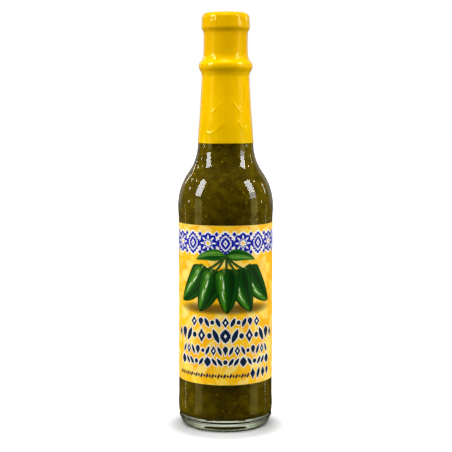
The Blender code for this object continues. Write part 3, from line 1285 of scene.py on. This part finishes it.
@dataclass
class ScrewCap:
    """The moulded cap under the film, whose top shows in the film's opening."""

    wall: float = 0.9 * MM
    panel_radius: float = 6.4 * MM
    panel_depth: float = 0.15 * MM
    gate_radius: float = 0.7 * MM
    gate_depths: Span = (0.08 * MM, 0.07 * MM)
    panel_slope: float = 0.2 * MM
    mouth_gap: float = 0.2 * MM
    segments: int = 96

    def build(self, face: Outline) -> None:
        """Makes the cap as a closed moulding with a shallow panel and a gate mark on its top.

        Args:
            face: The cap's outer face, from its top edge down to the hem of its skirt.
        """
        top = face[0][1]
        floor = top - self.panel_depth
        panel = [
            (0.0, floor - self.gate_depths[0]), (self.gate_radius * 0.8, floor - self.gate_depths[1]),
            (self.gate_radius, floor), (self.panel_radius, floor),
            (self.panel_radius + self.panel_slope, top),
        ]
        hem = face[-1]
        bore = hem[0] - self.wall
        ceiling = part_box("glass_bottle")[1].z + self.mouth_gap
        inner = [(bore, hem[1]), (bore, ceiling), (0.0, ceiling)]
        piece = Piece("cap_moulding")
        piece.turn(panel + face + inner, self.segments)
        piece.place(CapPlastic(), "cap_plastic", "screw_cap")


class FlatPiece(Piece):
    """A printed piece, drawn flat and then cut into strips and wrapped round the bottle."""

    layer = 0.010 * MM
    strip = 0.7 * MM

    def draw(self, outline: Outline, level: float) -> None:
        """Fills one flat shape.

        Args:
            outline: Its corners in order, along and up the paper.
            level: The layer of print that it lies on.
        """
        corners = [self.mesh.verts.new((along, -level * self.layer, up)) for along, up in outline]
        edges = [self.mesh.edges.new(pair) for pair in zip(corners, corners[1:] + corners[:1])]
        bmesh.ops.edgeloop_fill(self.mesh, edges=edges)

    def stamp(self, mark: "Mark", spot: Point, level: float, turn: float = 0.0) -> Outline:
        """Prints one ornament.

        Args:
            mark: The ornament.
            spot: Where its middle goes.
            level: The layer of print that it lies on.
            turn: Its turn in degrees.

        Returns:
            Its corners in order.
        """
        outline = moved(mark.motif.shape(mark.width * MM, mark.tall * MM), spot, turn)
        self.draw(outline, level)
        return outline

    def wrap(self, radius: float, thickness: float) -> None:
        """Cuts the flat shapes into strips, thickens them into the paper and bends them round.

        Args:
            radius: The radius of the paper's outer face.
            thickness: How thick the shapes are.
        """
        ends = [vertex.co.x for vertex in self.mesh.verts]
        for index in range(math.ceil(min(ends) / self.strip), math.floor(max(ends) / self.strip) + 1):
            whole = self.mesh.verts[:] + self.mesh.edges[:] + self.mesh.faces[:]
            spot = (index * self.strip, 0, 0)
            bmesh.ops.bisect_plane(
                self.mesh, geom=whole, dist=CUT_DISTANCE, plane_co=spot, plane_no=(1, 0, 0)
            )
        bmesh.ops.recalc_face_normals(self.mesh, faces=self.mesh.faces[:])
        wrong = [face for face in self.mesh.faces if face.normal.y > 0]
        bmesh.ops.reverse_faces(self.mesh, faces=wrong)
        self.thicken(thickness)
        places = self.places()
        angle, reach = places[:, 0] / radius, radius - places[:, 1]
        self.move_to(np.stack([reach * np.sin(angle), -reach * np.cos(angle), places[:, 2]], axis=1))


def grow(outline: Outline, distance: float) -> Outline:
    """Widens a closed flat shape by the same distance all round, with its sharp tips blunted.

    Args:
        outline: Its corners in order.
        distance: How much further out each side lies.

    Returns:
        The wider shape.
    """
    blunt = 0.55
    count = len(outline)
    area = sum(outline[i - 1][0] * outline[i][1] - outline[i][0] * outline[i - 1][1] for i in range(count))
    side = math.copysign(1.0, area)
    wider = []
    for i in range(count):
        here = Vector(outline[i])
        into = (here - Vector(outline[i - 1])).normalized()
        out = (Vector(outline[(i + 1) % count]) - here).normalized()
        normal = Vector((into.y + out.y, -into.x - out.x)).normalized() * side
        bend = max(normal.dot(Vector((into.y, -into.x)) * side), blunt)
        wider.append(tuple(here + normal * distance / bend))
    return wider


def moved(outline: Outline, centre: Point, turn: float = 0.0, scale: float = 1.0) -> Outline:
    """Turns a flat shape by an angle in degrees, scales it and moves it to its centre.

    Args:
        outline: Its corners.
        centre: Where its middle goes.
        turn: The angle, anticlockwise.
        scale: The factor on its size.

    Returns:
        The placed shape.
    """
    sine, cosine = math.sin(math.radians(turn)), math.cos(math.radians(turn))
    spots = [(scale * (x * cosine - y * sine), scale * (x * sine + y * cosine)) for x, y in outline]
    return [(centre[0] + x, centre[1] + y) for x, y in spots]


class Motif(Enum):
    """The ornaments of the print, each as wide and as high as it is asked for."""

    LOZENGE = "lozenge"
    LEAF = "leaf"
    DROP = "drop"
    DOT = "dot"
    STEPS = "steps"

    def shape(self, width: float, height: float) -> Outline:
        """Draws the ornament round its own middle.

        Args:
            width, height: Its size.

        Returns:
            Its corners in order.
        """
        x, y = width / 2, height / 2
        if self is Motif.DOT:
            return [(a * x, b * y) for a, b in arc((0, 0), 1.0, 0, 345, 23)]
        if self in (Motif.LOZENGE, Motif.STEPS):
            upper = [(1.0, 0.0), (0.45, 0.5), (0.0, 1.0), (-0.45, 0.5)]
            if self is Motif.STEPS:
                right = [(1.0, 0.34), (0.76, 0.34), (0.76, 0.62), (0.48, 0.62), (0.48, 0.84), (0.2, 0.84)]
                right += [(0.2, 1.0)]
                upper = right + [(-a, b) for a, b in right[::-1]]
            return [(a * x, b * y) for a, b in upper] + [(-a * x, -b * y) for a, b in upper]
        swell = 1.0 if self is Motif.LEAF else 1.7
        heights = [i / 10 for i in range(1, 10)]
        side = [(x * math.sin(math.pi * h**swell) ** 0.8, y * (2 * h - 1)) for h in heights]
        return [(0, -y)] + side + [(0, y)] + [(-a, b) for a, b in side[::-1]]


@dataclass(frozen=True)
class Mark:
    """One ornament of a row: what it is, its size in millimetres and its lean in degrees."""

    motif: Motif
    width: float
    tall: float
    lean: float = 0.0
    eye: bool = False


@dataclass
class OrnamentRow:
    """A row of ornaments with white edges, set side by side outwards from its middle."""

    height: float
    reach: float
    marks: tuple[Mark, ...]
    gap: float = 0.75 * MM
    halo: float = 0.34 * MM
    eye: Span = (0.3, 0.34)

    def draw(self, ink: FlatPiece, white: FlatPiece) -> None:
        """Draws the row on both pieces.

        Args:
            ink: The piece that takes the ornaments.
            white: The piece that takes their white edges.
        """
        place, index = 0.0, 0
        while place < self.reach:
            mark = self.marks[index % len(self.marks)]
            for side in (-1, 1) if index else (1,):
                spot = (side * place, self.height)
                shape = ink.stamp(mark, spot, 2, -side * mark.lean)
                white.draw(grow(shape, self.halo), 1)
                if mark.eye:
                    eye = Mark(Motif.LOZENGE, mark.width * self.eye[0], mark.tall * self.eye[1])
                    white.stamp(eye, spot, 3)
            index += 1
            place += (mark.width + self.marks[index % len(self.marks)].width) / 2 * MM + self.gap


@dataclass
class PaintedForm:
    """A long painted form between two points, such as a fruit, a stem or a leaf."""

    base: Point
    tip: Point
    bow: float
    width: float
    level: float
    blunt: float = 0.16
    taper: float = 2.6
    along: int = 26
    across: int = 8
    least_width: float = 0.02

    def draw(self, piece: FlatPiece) -> None:
        """Lays a grid with a UV map along the form's bowed middle line.

        Args:
            piece: The piece that takes it.
        """
        made = bmesh.ops.create_grid(
            piece.mesh, x_segments=self.across, y_segments=self.along, size=1.0, calc_uvs=True
        )
        start, end = Vector(self.base) * MM, Vector(self.tip) * MM
        run = end - start
        side = Vector((-run.y, run.x)).normalized()
        middle = start + run / 2 + side * self.bow * MM
        for vertex in made["verts"]:
            share = (vertex.co.y + 1) / 2
            centre = start.lerp(middle, share).lerp(middle.lerp(end, share), share)
            heading = (middle - start).lerp(end - middle, share).normalized()
            base = math.sin(min(share / self.blunt, 1.0) * math.pi / 2) ** 0.6
            tip = max(1 - share**self.taper, 0.0) ** 0.75
            swell = max(base * tip, self.least_width)
            spot = centre + Vector((-heading.y, heading.x)) * vertex.co.x * swell * self.width * MM / 2
            vertex.co = (spot.x, -self.level * piece.layer, spot.y)


@dataclass
class Label:
    """The paper label and all that is printed on it."""

    radius: float = 21.95 * MM
    paper: float = 0.07 * MM
    print_depth: float = 0.062 * MM
    bare_angle: float = 36.0
    corner: float = 1.6 * MM
    frieze_height: float = 87.2 * MM
    frieze_pitch: float = 8.05 * MM
    frieze_tall: float = 9.8 * MM
    frieze_halo: float = 0.6 * MM
    rows: tuple[OrnamentRow, ...] = (
        OrnamentRow(51.2 * MM, 18.8 * MM, (
            Mark(Motif.LOZENGE, 3.4, 4.8, 0, True), Mark(Motif.LEAF, 1.9, 4.8, 26), Mark(Motif.DOT, 1.9, 2.1),
            Mark(Motif.LEAF, 1.9, 4.8, 26), Mark(Motif.DROP, 2.6, 4.2),
        )),
        OrnamentRow(45.0 * MM, 28.0 * MM, (
            Mark(Motif.STEPS, 4.8, 6.4, 0, True), Mark(Motif.LEAF, 2.4, 7.2, 24), Mark(Motif.DOT, 2.3, 2.6),
            Mark(Motif.LOZENGE, 4.0, 6.6, 0, True), Mark(Motif.DOT, 2.3, 2.6),
            Mark(Motif.LEAF, 2.4, 7.2, -24), Mark(Motif.DROP, 3.4, 6.2), Mark(Motif.LOZENGE, 2.6, 5.0),
        )),
        OrnamentRow(38.2 * MM, 24.0 * MM, (
            Mark(Motif.DROP, 2.4, 4.6), Mark(Motif.LEAF, 1.5, 4.8, 24),
            Mark(Motif.LOZENGE, 2.8, 4.8, 0, True), Mark(Motif.LEAF, 1.5, 4.8, -24),
            Mark(Motif.DOT, 1.7, 1.9),
        ), 0.7 * MM),
        OrnamentRow(33.0 * MM, 24.0 * MM, (
            Mark(Motif.DOT, 2.0, 2.2), Mark(Motif.LEAF, 1.6, 4.4, 34), Mark(Motif.LEAF, 1.6, 4.4, 34),
            Mark(Motif.STEPS, 3.2, 4.4), Mark(Motif.LEAF, 1.6, 4.4, -34),
        ), 0.85 * MM),
    )
    small_marks: tuple[Mark, ...] = (
        Mark(Motif.LEAF, 1.0, 2.6, -24), Mark(Motif.LOZENGE, 1.2, 1.9),
        Mark(Motif.LEAF, 1.0, 2.6, -24), Mark(Motif.DOT, 1.0, 1.1),
    )
    small_count: int = 27
    small_start: Point = (-25.2, 26.6)
    small_pitch: float = 1.38
    end_marks: tuple[Mark, ...] = (
        Mark(Motif.LOZENGE, 3.0, 5.4), Mark(Motif.LEAF, 1.9, 5.4, -16),
        Mark(Motif.LOZENGE, 3.0, 5.4), Mark(Motif.DROP, 2.4, 4.2),
    )
    end_start: Point = (13.3, 27.2)
    end_pitch: float = 3.2
    end_halo: float = 0.25 * MM
    frieze_reach: int = 7
    tile_gap: float = 0.7 * MM
    small_rise: float = 4.1 * MM
    small_halo: float = 0.35 * MM
    petals: int = 8
    petal_reach: float = 2.75 * MM
    knot: Point = (0.0, 82.6)
    fan: tuple[tuple[Point, Point, float, float], ...] = (
        ((-9.4, 76.8), (-23.8, 60.0), 3.0, 2.0), ((9.4, 76.8), (23.8, 60.0), -3.0, 2.4),
        ((-5.2, 75.6), (-12.4, 55.8), 1.6, 2.8), ((5.2, 75.6), (12.4, 55.8), -1.6, 3.2),
        ((0.0, 76.0), (0.6, 55.2), 0.8, 3.6),
    )
    crown_share: float = 0.13

    def build(self) -> None:
        """Makes the paper, the frieze, the picture and the rows of ornaments."""
        self.make_paper()
        white, blue, navy, gold = (FlatPiece(f"print_{ink.name.lower()}") for ink in Ink)
        self.draw_frieze(white, blue, gold)
        for row in self.rows:
            row.draw(navy, white)
        self.draw_small_row(navy, white)
        for piece, ink in zip((white, blue, navy, gold), Ink):
            piece.wrap(self.radius, self.print_depth)
            piece.place(ink.value)
        self.draw_picture()

    def make_paper(self) -> None:
        """Cuts the paper with rounded corners and wraps it, with a bare strip of glass left at the back."""
        low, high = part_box("label")[0].z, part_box("label")[1].z
        half = math.radians(360 - self.bare_angle) / 2 * self.radius
        right = arc((half - self.corner, high - self.corner), self.corner, 90, 0, 6)
        right += arc((half - self.corner, low + self.corner), self.corner, 0, -90, 6)
        left = [(-along, up) for along, up in right[::-1]]
        piece = FlatPiece("label_sheet")
        piece.draw(right + left, 0)
        piece.wrap(self.radius, self.paper)
        piece.place(LabelPaper(radius=self.radius, bottom=low, top=high), "label_paper", "label")

    def draw_frieze(self, white: FlatPiece, blue: FlatPiece, gold: FlatPiece) -> None:
        """Draws stepped lozenges and flowers by turns, all round the label, with small ornaments between.

        Args:
            white, blue, gold: The pieces that take each ink.
        """
        steps = Motif.STEPS.shape(self.frieze_pitch - self.tile_gap, self.frieze_tall)
        for index in range(-self.frieze_reach, self.frieze_reach + 1):
            spot = (index * self.frieze_pitch, self.frieze_height)
            if index % 2 == 0:
                white.draw(grow(moved(steps, spot), self.frieze_halo), 1)
                for ink, scale, level in ((blue, 1.0, 2), (white, 0.72, 3), (blue, 0.58, 4)):
                    ink.draw(moved(steps, spot, 0, scale), level)
                white.stamp(Mark(Motif.LOZENGE, 2.2, 3.4), spot, 5)
                blue.stamp(Mark(Motif.DOT, 0.8, 0.9), spot, 6)
            else:
                self.draw_flower(spot, white, blue, gold)
        for index in range(-self.frieze_reach, self.frieze_reach):
            for rise in (-1, 1):
                spot = ((index + 0.5) * self.frieze_pitch, self.frieze_height + rise * self.small_rise)
                shape = blue.stamp(Mark(Motif.LOZENGE, 2.2, 2.4), spot, 2.5)
                white.draw(grow(shape, self.small_halo), 1.5)

    def draw_flower(self, spot: Point, white: FlatPiece, blue: FlatPiece, gold: FlatPiece) -> None:
        """Draws one flower of eight petals, each with a white vein.

        Args:
            spot: Its middle.
            white, blue, gold: The pieces that take each ink.
        """
        for step in range(self.petals):
            degrees = 360 / self.petals * step
            turn = math.radians(degrees)
            away = (spot[0] - self.petal_reach * math.sin(turn), spot[1] + self.petal_reach * math.cos(turn))
            shape = blue.stamp(Mark(Motif.DROP, 3.0, 4.2), away, 2 + 0.1 * (step % 2), degrees)
            white.draw(grow(shape, self.frieze_halo), 1 + 0.04 * step)
            white.stamp(Mark(Motif.LEAF, 0.8, 2.2), away, 3.2, degrees)
        white.stamp(Mark(Motif.DOT, 2.5, 2.5), spot, 3.5)
        gold.stamp(Mark(Motif.DOT, 1.4, 1.4), spot, 4.5)

    def draw_small_row(self, navy: FlatPiece, white: FlatPiece) -> None:
        """Draws the fine row near the foot of the label, with a larger group at its right.

        Args:
            navy, white: The pieces that take each ink.
        """
        for index in range(self.small_count):
            mark = self.small_marks[index % len(self.small_marks)]
            spot = ((self.small_start[0] + self.small_pitch * index) * MM, self.small_start[1] * MM)
            navy.stamp(mark, spot, 2, mark.lean)
        for index, mark in enumerate(self.end_marks):
            spot = ((self.end_start[0] + self.end_pitch * index) * MM, self.end_start[1] * MM)
            white.draw(grow(navy.stamp(mark, spot, 2, mark.lean), self.end_halo), 1)

    def draw_picture(self) -> None:
        """Paints a fan of five green chillies that hang from a knot, with two leaves over it."""
        stalk_tones = (srgb(6, 40, 4), srgb(24, 74, 8), srgb(70, 110, 20))
        leaf_tones = (srgb(6, 58, 8), srgb(22, 100, 16), srgb(92, 152, 36))
        fruit = FlatPiece("painted_chillies")
        stems = FlatPiece("painted_stalks")
        leaves = FlatPiece("painted_leaves")
        finishes = {
            fruit: PaintedSkin("painted_chilli"),
            stems: PaintedSkin("painted_stalk", *stalk_tones, gleam_strength=0.4),
            leaves: PaintedSkin("painted_leaf", *leaf_tones, gleam_strength=0.2, rib=0.8),
        }
        for piece in finishes:
            piece.mesh.loops.layers.uv.new("UVMap")
        for base, tip, bow, level in self.fan:
            PaintedForm(base, tip, bow, 12.0, level).draw(fruit)
            crown = tuple(start + (end - start) * self.crown_share for start, end in zip(base, tip))
            PaintedForm(base, crown, 0, 5.2, level + 0.4, 0.3, 3.0, 6, 6).draw(stems)
            PaintedForm(self.knot, crown, bow, 1.2, level + 0.5, 0.1, 9.0, 16, 4).draw(stems)
        for side in (-1, 1):
            PaintedForm((side * 0.4, 81.6), (side * 14.2, 79.6), side * 2.4, 6.2, 4.4, 0.4, 1.7).draw(leaves)
        for piece, finish in finishes.items():
            piece.wrap(self.radius, self.print_depth)
            piece.place(finish)


WARM = (1.0, 0.95, 0.34)


class Role(Enum):
    """What a studio light is for."""

    SOFT = "lights the outer surfaces, and isn't mirrored"
    THROUGH = "lights the sauce through the glass"
    MIRRORED = "shows as a reflection only"


@dataclass(frozen=True)
class SoftBox:
    """A rectangular studio light, placed by the direction that it shines from."""

    name: str
    role: Role
    azimuth: float
    elevation: float
    width: float
    height: float
    radiance: float
    distance: float = 0.8
    aim: float = 120 * MM
    colour: Colour = (1.0, 1.0, 1.0)

    def build(self) -> None:
        """Makes the light, which the camera doesn't see, turned to the bottle."""
        turn, rise = math.radians(self.azimuth), math.radians(self.elevation)
        away = Vector((math.sin(turn) * math.cos(rise), -math.cos(turn) * math.cos(rise), math.sin(rise)))
        data = bpy.data.lights.new(self.name, "AREA")
        data.shape = "RECTANGLE"
        data.size = 2 * self.distance * math.tan(math.radians(self.width) / 2)
        data.size_y = 2 * self.distance * math.tan(math.radians(self.height) / 2)
        data.energy = self.radiance * math.pi * data.size * data.size_y
        data.color = self.colour
        light = bpy.data.objects.new(self.name, data)
        light.location = Vector((0, 0, self.aim)) + away * self.distance
        light.rotation_euler = away.to_track_quat("Z", "Y").to_euler()
        light.visible_camera = False
        light.visible_glossy = self.role is Role.MIRRORED
        light.visible_diffuse = self.role is Role.SOFT
        light.visible_transmission = self.role is Role.THROUGH
        if self.role is Role.THROUGH:
            self.keep_out_of_glass(data)
        bpy.context.scene.collection.objects.link(light)

    def keep_out_of_glass(self, data: bpy.types.AreaLight) -> None:
        """Lets the light reach the sauce, but not show in the clear glass by itself.

        Args:
            data: The light's data.
        """
        data.use_nodes = True
        graph = Graph(data.node_tree)
        depth = graph.add("ShaderNodeLightPath", {}).outputs["Diffuse Depth"]
        after_sauce = graph.math("MINIMUM", depth, 1.0)
        graph.feed(data.node_tree.nodes["Emission"].inputs["Strength"], after_sauce)


@dataclass(frozen=True)
class Surroundings:
    """How bright the studio is in front, behind, overhead and below, and where front turns into back."""

    front: float
    back: float
    overhead: float
    below: float
    turn: Span = (-0.35, 0.45)
    overhead_turn: Span = (0.5, 0.9)
    below_turn: Span = (0.0, -0.15)

    def level(self, graph: Graph, way: Sockets) -> Socket:
        """Works out the brightness in one direction.

        Args:
            graph: The world's graph.
            way: The direction's three parts.

        Returns:
            The brightness as a colour's socket.
        """
        around = graph.remap(way["Y"], *self.turn, self.front, self.back)
        level = graph.mix(graph.remap(way["Z"], *self.overhead_turn), around, (self.overhead,) * 3)
        return graph.mix(graph.remap(way["Z"], *self.below_turn), level, (self.below,) * 3)


@dataclass
class Studio:
    """The floor, the lights, the surroundings and the camera at the photograph's angle."""

    soft: Surroundings = Surroundings(0.13, 0.80, 0.30, 0.45)
    mirrored: Surroundings = Surroundings(0.005, 0.34, 0.04, 0.01, (0.60, 0.80))
    through: Surroundings = Surroundings(0.34, 0.78, 0.10, 0.08, (0.72, 0.92))
    inward: Surroundings = Surroundings(0.01, 0.80, 0.10, 0.44)
    floor_size: float = 12.0
    lens: float = 92.92
    camera_distance: float = 541.1 * MM
    camera_height: float = 148.5 * MM
    camera_side: float = 0.21 * MM
    camera_tilt: float = 5.867
    camera_roll: float = 0.05
    lights: tuple[SoftBox, ...] = (
        SoftBox("left_soft", Role.SOFT, -85, 22, 50, 50, 4.0, 2.0),
        SoftBox("right_soft", Role.SOFT, 85, 22, 50, 50, 3.4, 2.0),
        SoftBox("top_soft", Role.SOFT, 0, 74, 50, 50, 5.2, 2.0),
        SoftBox("left_through", Role.THROUGH, -103, 18, 50, 46, 16.4),
        SoftBox("right_through", Role.THROUGH, 103, 18, 50, 46, 14.4),
        SoftBox("top_through", Role.THROUGH, 0, 70, 50, 40, 2.4),
        SoftBox("left_box", Role.MIRRORED, -72, 28, 17, 28, 12.0),
        SoftBox("right_box", Role.MIRRORED, 72, 31.5, 17, 21, 12.0),
        SoftBox("right_mid_box", Role.MIRRORED, 72, 16, 18, 10, 5.0),
        SoftBox("left_fill", Role.MIRRORED, -68.5, -0.5, 20, 19, 1.3, colour=WARM),
        SoftBox("left_low_fill", Role.MIRRORED, -68.5, -19, 20, 18, 0.7, colour=WARM),
        SoftBox("right_fill", Role.MIRRORED, 73.5, 0.5, 20, 21, 1.3, colour=WARM),
        SoftBox("right_low_fill", Role.MIRRORED, 73.5, -19, 20, 18, 0.7, colour=WARM),
        SoftBox("left_line", Role.MIRRORED, -114, -13, 1.8, 20, 2.0),
        SoftBox("right_line", Role.MIRRORED, 114, -14, 1.6, 18, 2.0),
        SoftBox("left_rim", Role.MIRRORED, -138, 18, 1.6, 12, 9.0),
        SoftBox("left_near_rim", Role.MIRRORED, -119, 25.7, 1.6, 5, 12.0),
        SoftBox("left_high_bead", Role.MIRRORED, -99, 32, 2.2, 3.2, 12.0),
        SoftBox("left_mid_bead", Role.MIRRORED, -108, 17.6, 2.2, 3.2, 12.0),
        SoftBox("left_near_bead", Role.MIRRORED, -99, 3, 2.2, 3.0, 10.0),
        SoftBox("right_rim", Role.MIRRORED, 119, 15, 1.6, 12, 9.0),
        SoftBox("right_high_bead", Role.MIRRORED, 97, 32.6, 2.4, 3.6, 12.0),
        SoftBox("right_low_bead", Role.MIRRORED, 96.7, 3, 2.4, 3.0, 12.0),
        SoftBox("overhead_box", Role.MIRRORED, 0, 76, 16, 8, 12.0),
    )

    def build(self) -> None:
        """Sets the whole studio up."""
        self.make_floor()
        self.make_world()
        for light in self.lights:
            light.build()
        self.make_camera()
        bpy.context.scene.view_settings.view_transform = "Standard"
        bpy.context.scene.view_settings.look = "None"

    def make_floor(self) -> None:
        """Lays a large matt floor, which the glass doesn't mirror."""
        mesh = bmesh.new()
        bmesh.ops.create_grid(mesh, x_segments=1, y_segments=1, size=self.floor_size / 2)
        data = bpy.data.meshes.new("studio_floor")
        mesh.to_mesh(data)
        mesh.free()
        data.materials.append(FloorPaint("studio_floor").material())
        floor = bpy.data.objects.new("studio_floor", data)
        floor.visible_glossy = False
        floor.visible_diffuse = False
        floor.visible_transmission = False
        bpy.context.scene.collection.objects.link(floor)

    def make_world(self) -> None:
        """Makes surroundings that differ between kinds of ray, and are plain white to the camera."""
        world = bpy.data.worlds.new("studio_surroundings")
        bpy.context.scene.world = world
        world.use_nodes = True
        world.node_tree.nodes.clear()
        graph = Graph(world.node_tree)
        way = graph.parts(graph.add("ShaderNodeTexCoord", {}).outputs["Generated"])
        path = graph.add("ShaderNodeLightPath", {}).outputs
        kinds = (self.soft, self.mirrored, self.through, self.inward)
        soft, mirrored, through, inward = (kind.level(graph, way) for kind in kinds)
        inside = graph.mix(graph.math("MINIMUM", path["Diffuse Depth"], 1.0), through, inward)
        outside = graph.mix(path["Is Glossy Ray"], soft, mirrored)
        level = graph.mix(path["Is Transmission Ray"], outside, inside)
        lit = graph.add("ShaderNodeBackground", {"Color": level, "Strength": 1.0}).outputs[0]
        seen = graph.add("ShaderNodeBackground", {"Color": (1.0, 1.0, 1.0), "Strength": 1.0}).outputs[0]
        camera = path["Is Camera Ray"]
        both = graph.add("ShaderNodeMixShader", {0: camera, 1: lit, 2: seen}).outputs[0]
        graph.add("ShaderNodeOutputWorld", {"Surface": both})

    def make_camera(self) -> None:
        """Puts the camera where the photograph was taken from."""
        data = bpy.data.cameras.new("photo_camera")
        data.sensor_width = 36.0
        data.lens = self.lens
        camera = bpy.data.objects.new("photo_camera", data)
        tilt, roll = math.radians(90 - self.camera_tilt), math.radians(self.camera_roll)
        turn = Matrix.Rotation(tilt, 4, "X") @ Matrix.Rotation(roll, 4, "Z")
        place = Matrix.Translation((self.camera_side, -self.camera_distance, self.camera_height))
        camera.matrix_world = place @ turn
        bpy.context.scene.collection.objects.link(camera)
        bpy.context.scene.camera = camera


def clear_start_scene() -> None:
    """Removes what a new Blender scene holds, and keeps the frame."""
    kept = set(frame["nodes"].values()) | set(frame["bodies"].values())
    for thing in list(bpy.data.objects):
        if thing not in kept:
            bpy.data.objects.remove(thing)


def main() -> None:
    """Builds the bottle's pieces in order, then the studio."""
    logging.basicConfig(level=logging.INFO, format="%(name)s %(relativeCreated)d ms: %(message)s")
    clear_start_scene()
    sleeve, glass, label = NeckSleeve(), GlassBottle(), Label()
    hem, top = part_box("neck_sleeve")[0].z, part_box("neck_sleeve")[1].z
    hem_gap, ring_top, cap_gap, folded_points = 0.2 * MM, 171.0 * MM, 0.6 * MM, 2
    glass.build(sleeve.covered(ring_top, hem + hem_gap))
    Sauce().build(glass.inside())
    ScrewCap().build(sleeve.covered(top, ring_top + cap_gap)[folded_points:])
    sleeve.build()
    label.build()
    Studio().build()
    bpy.context.view_layer.update()


if __name__ == "__main__":
    main()
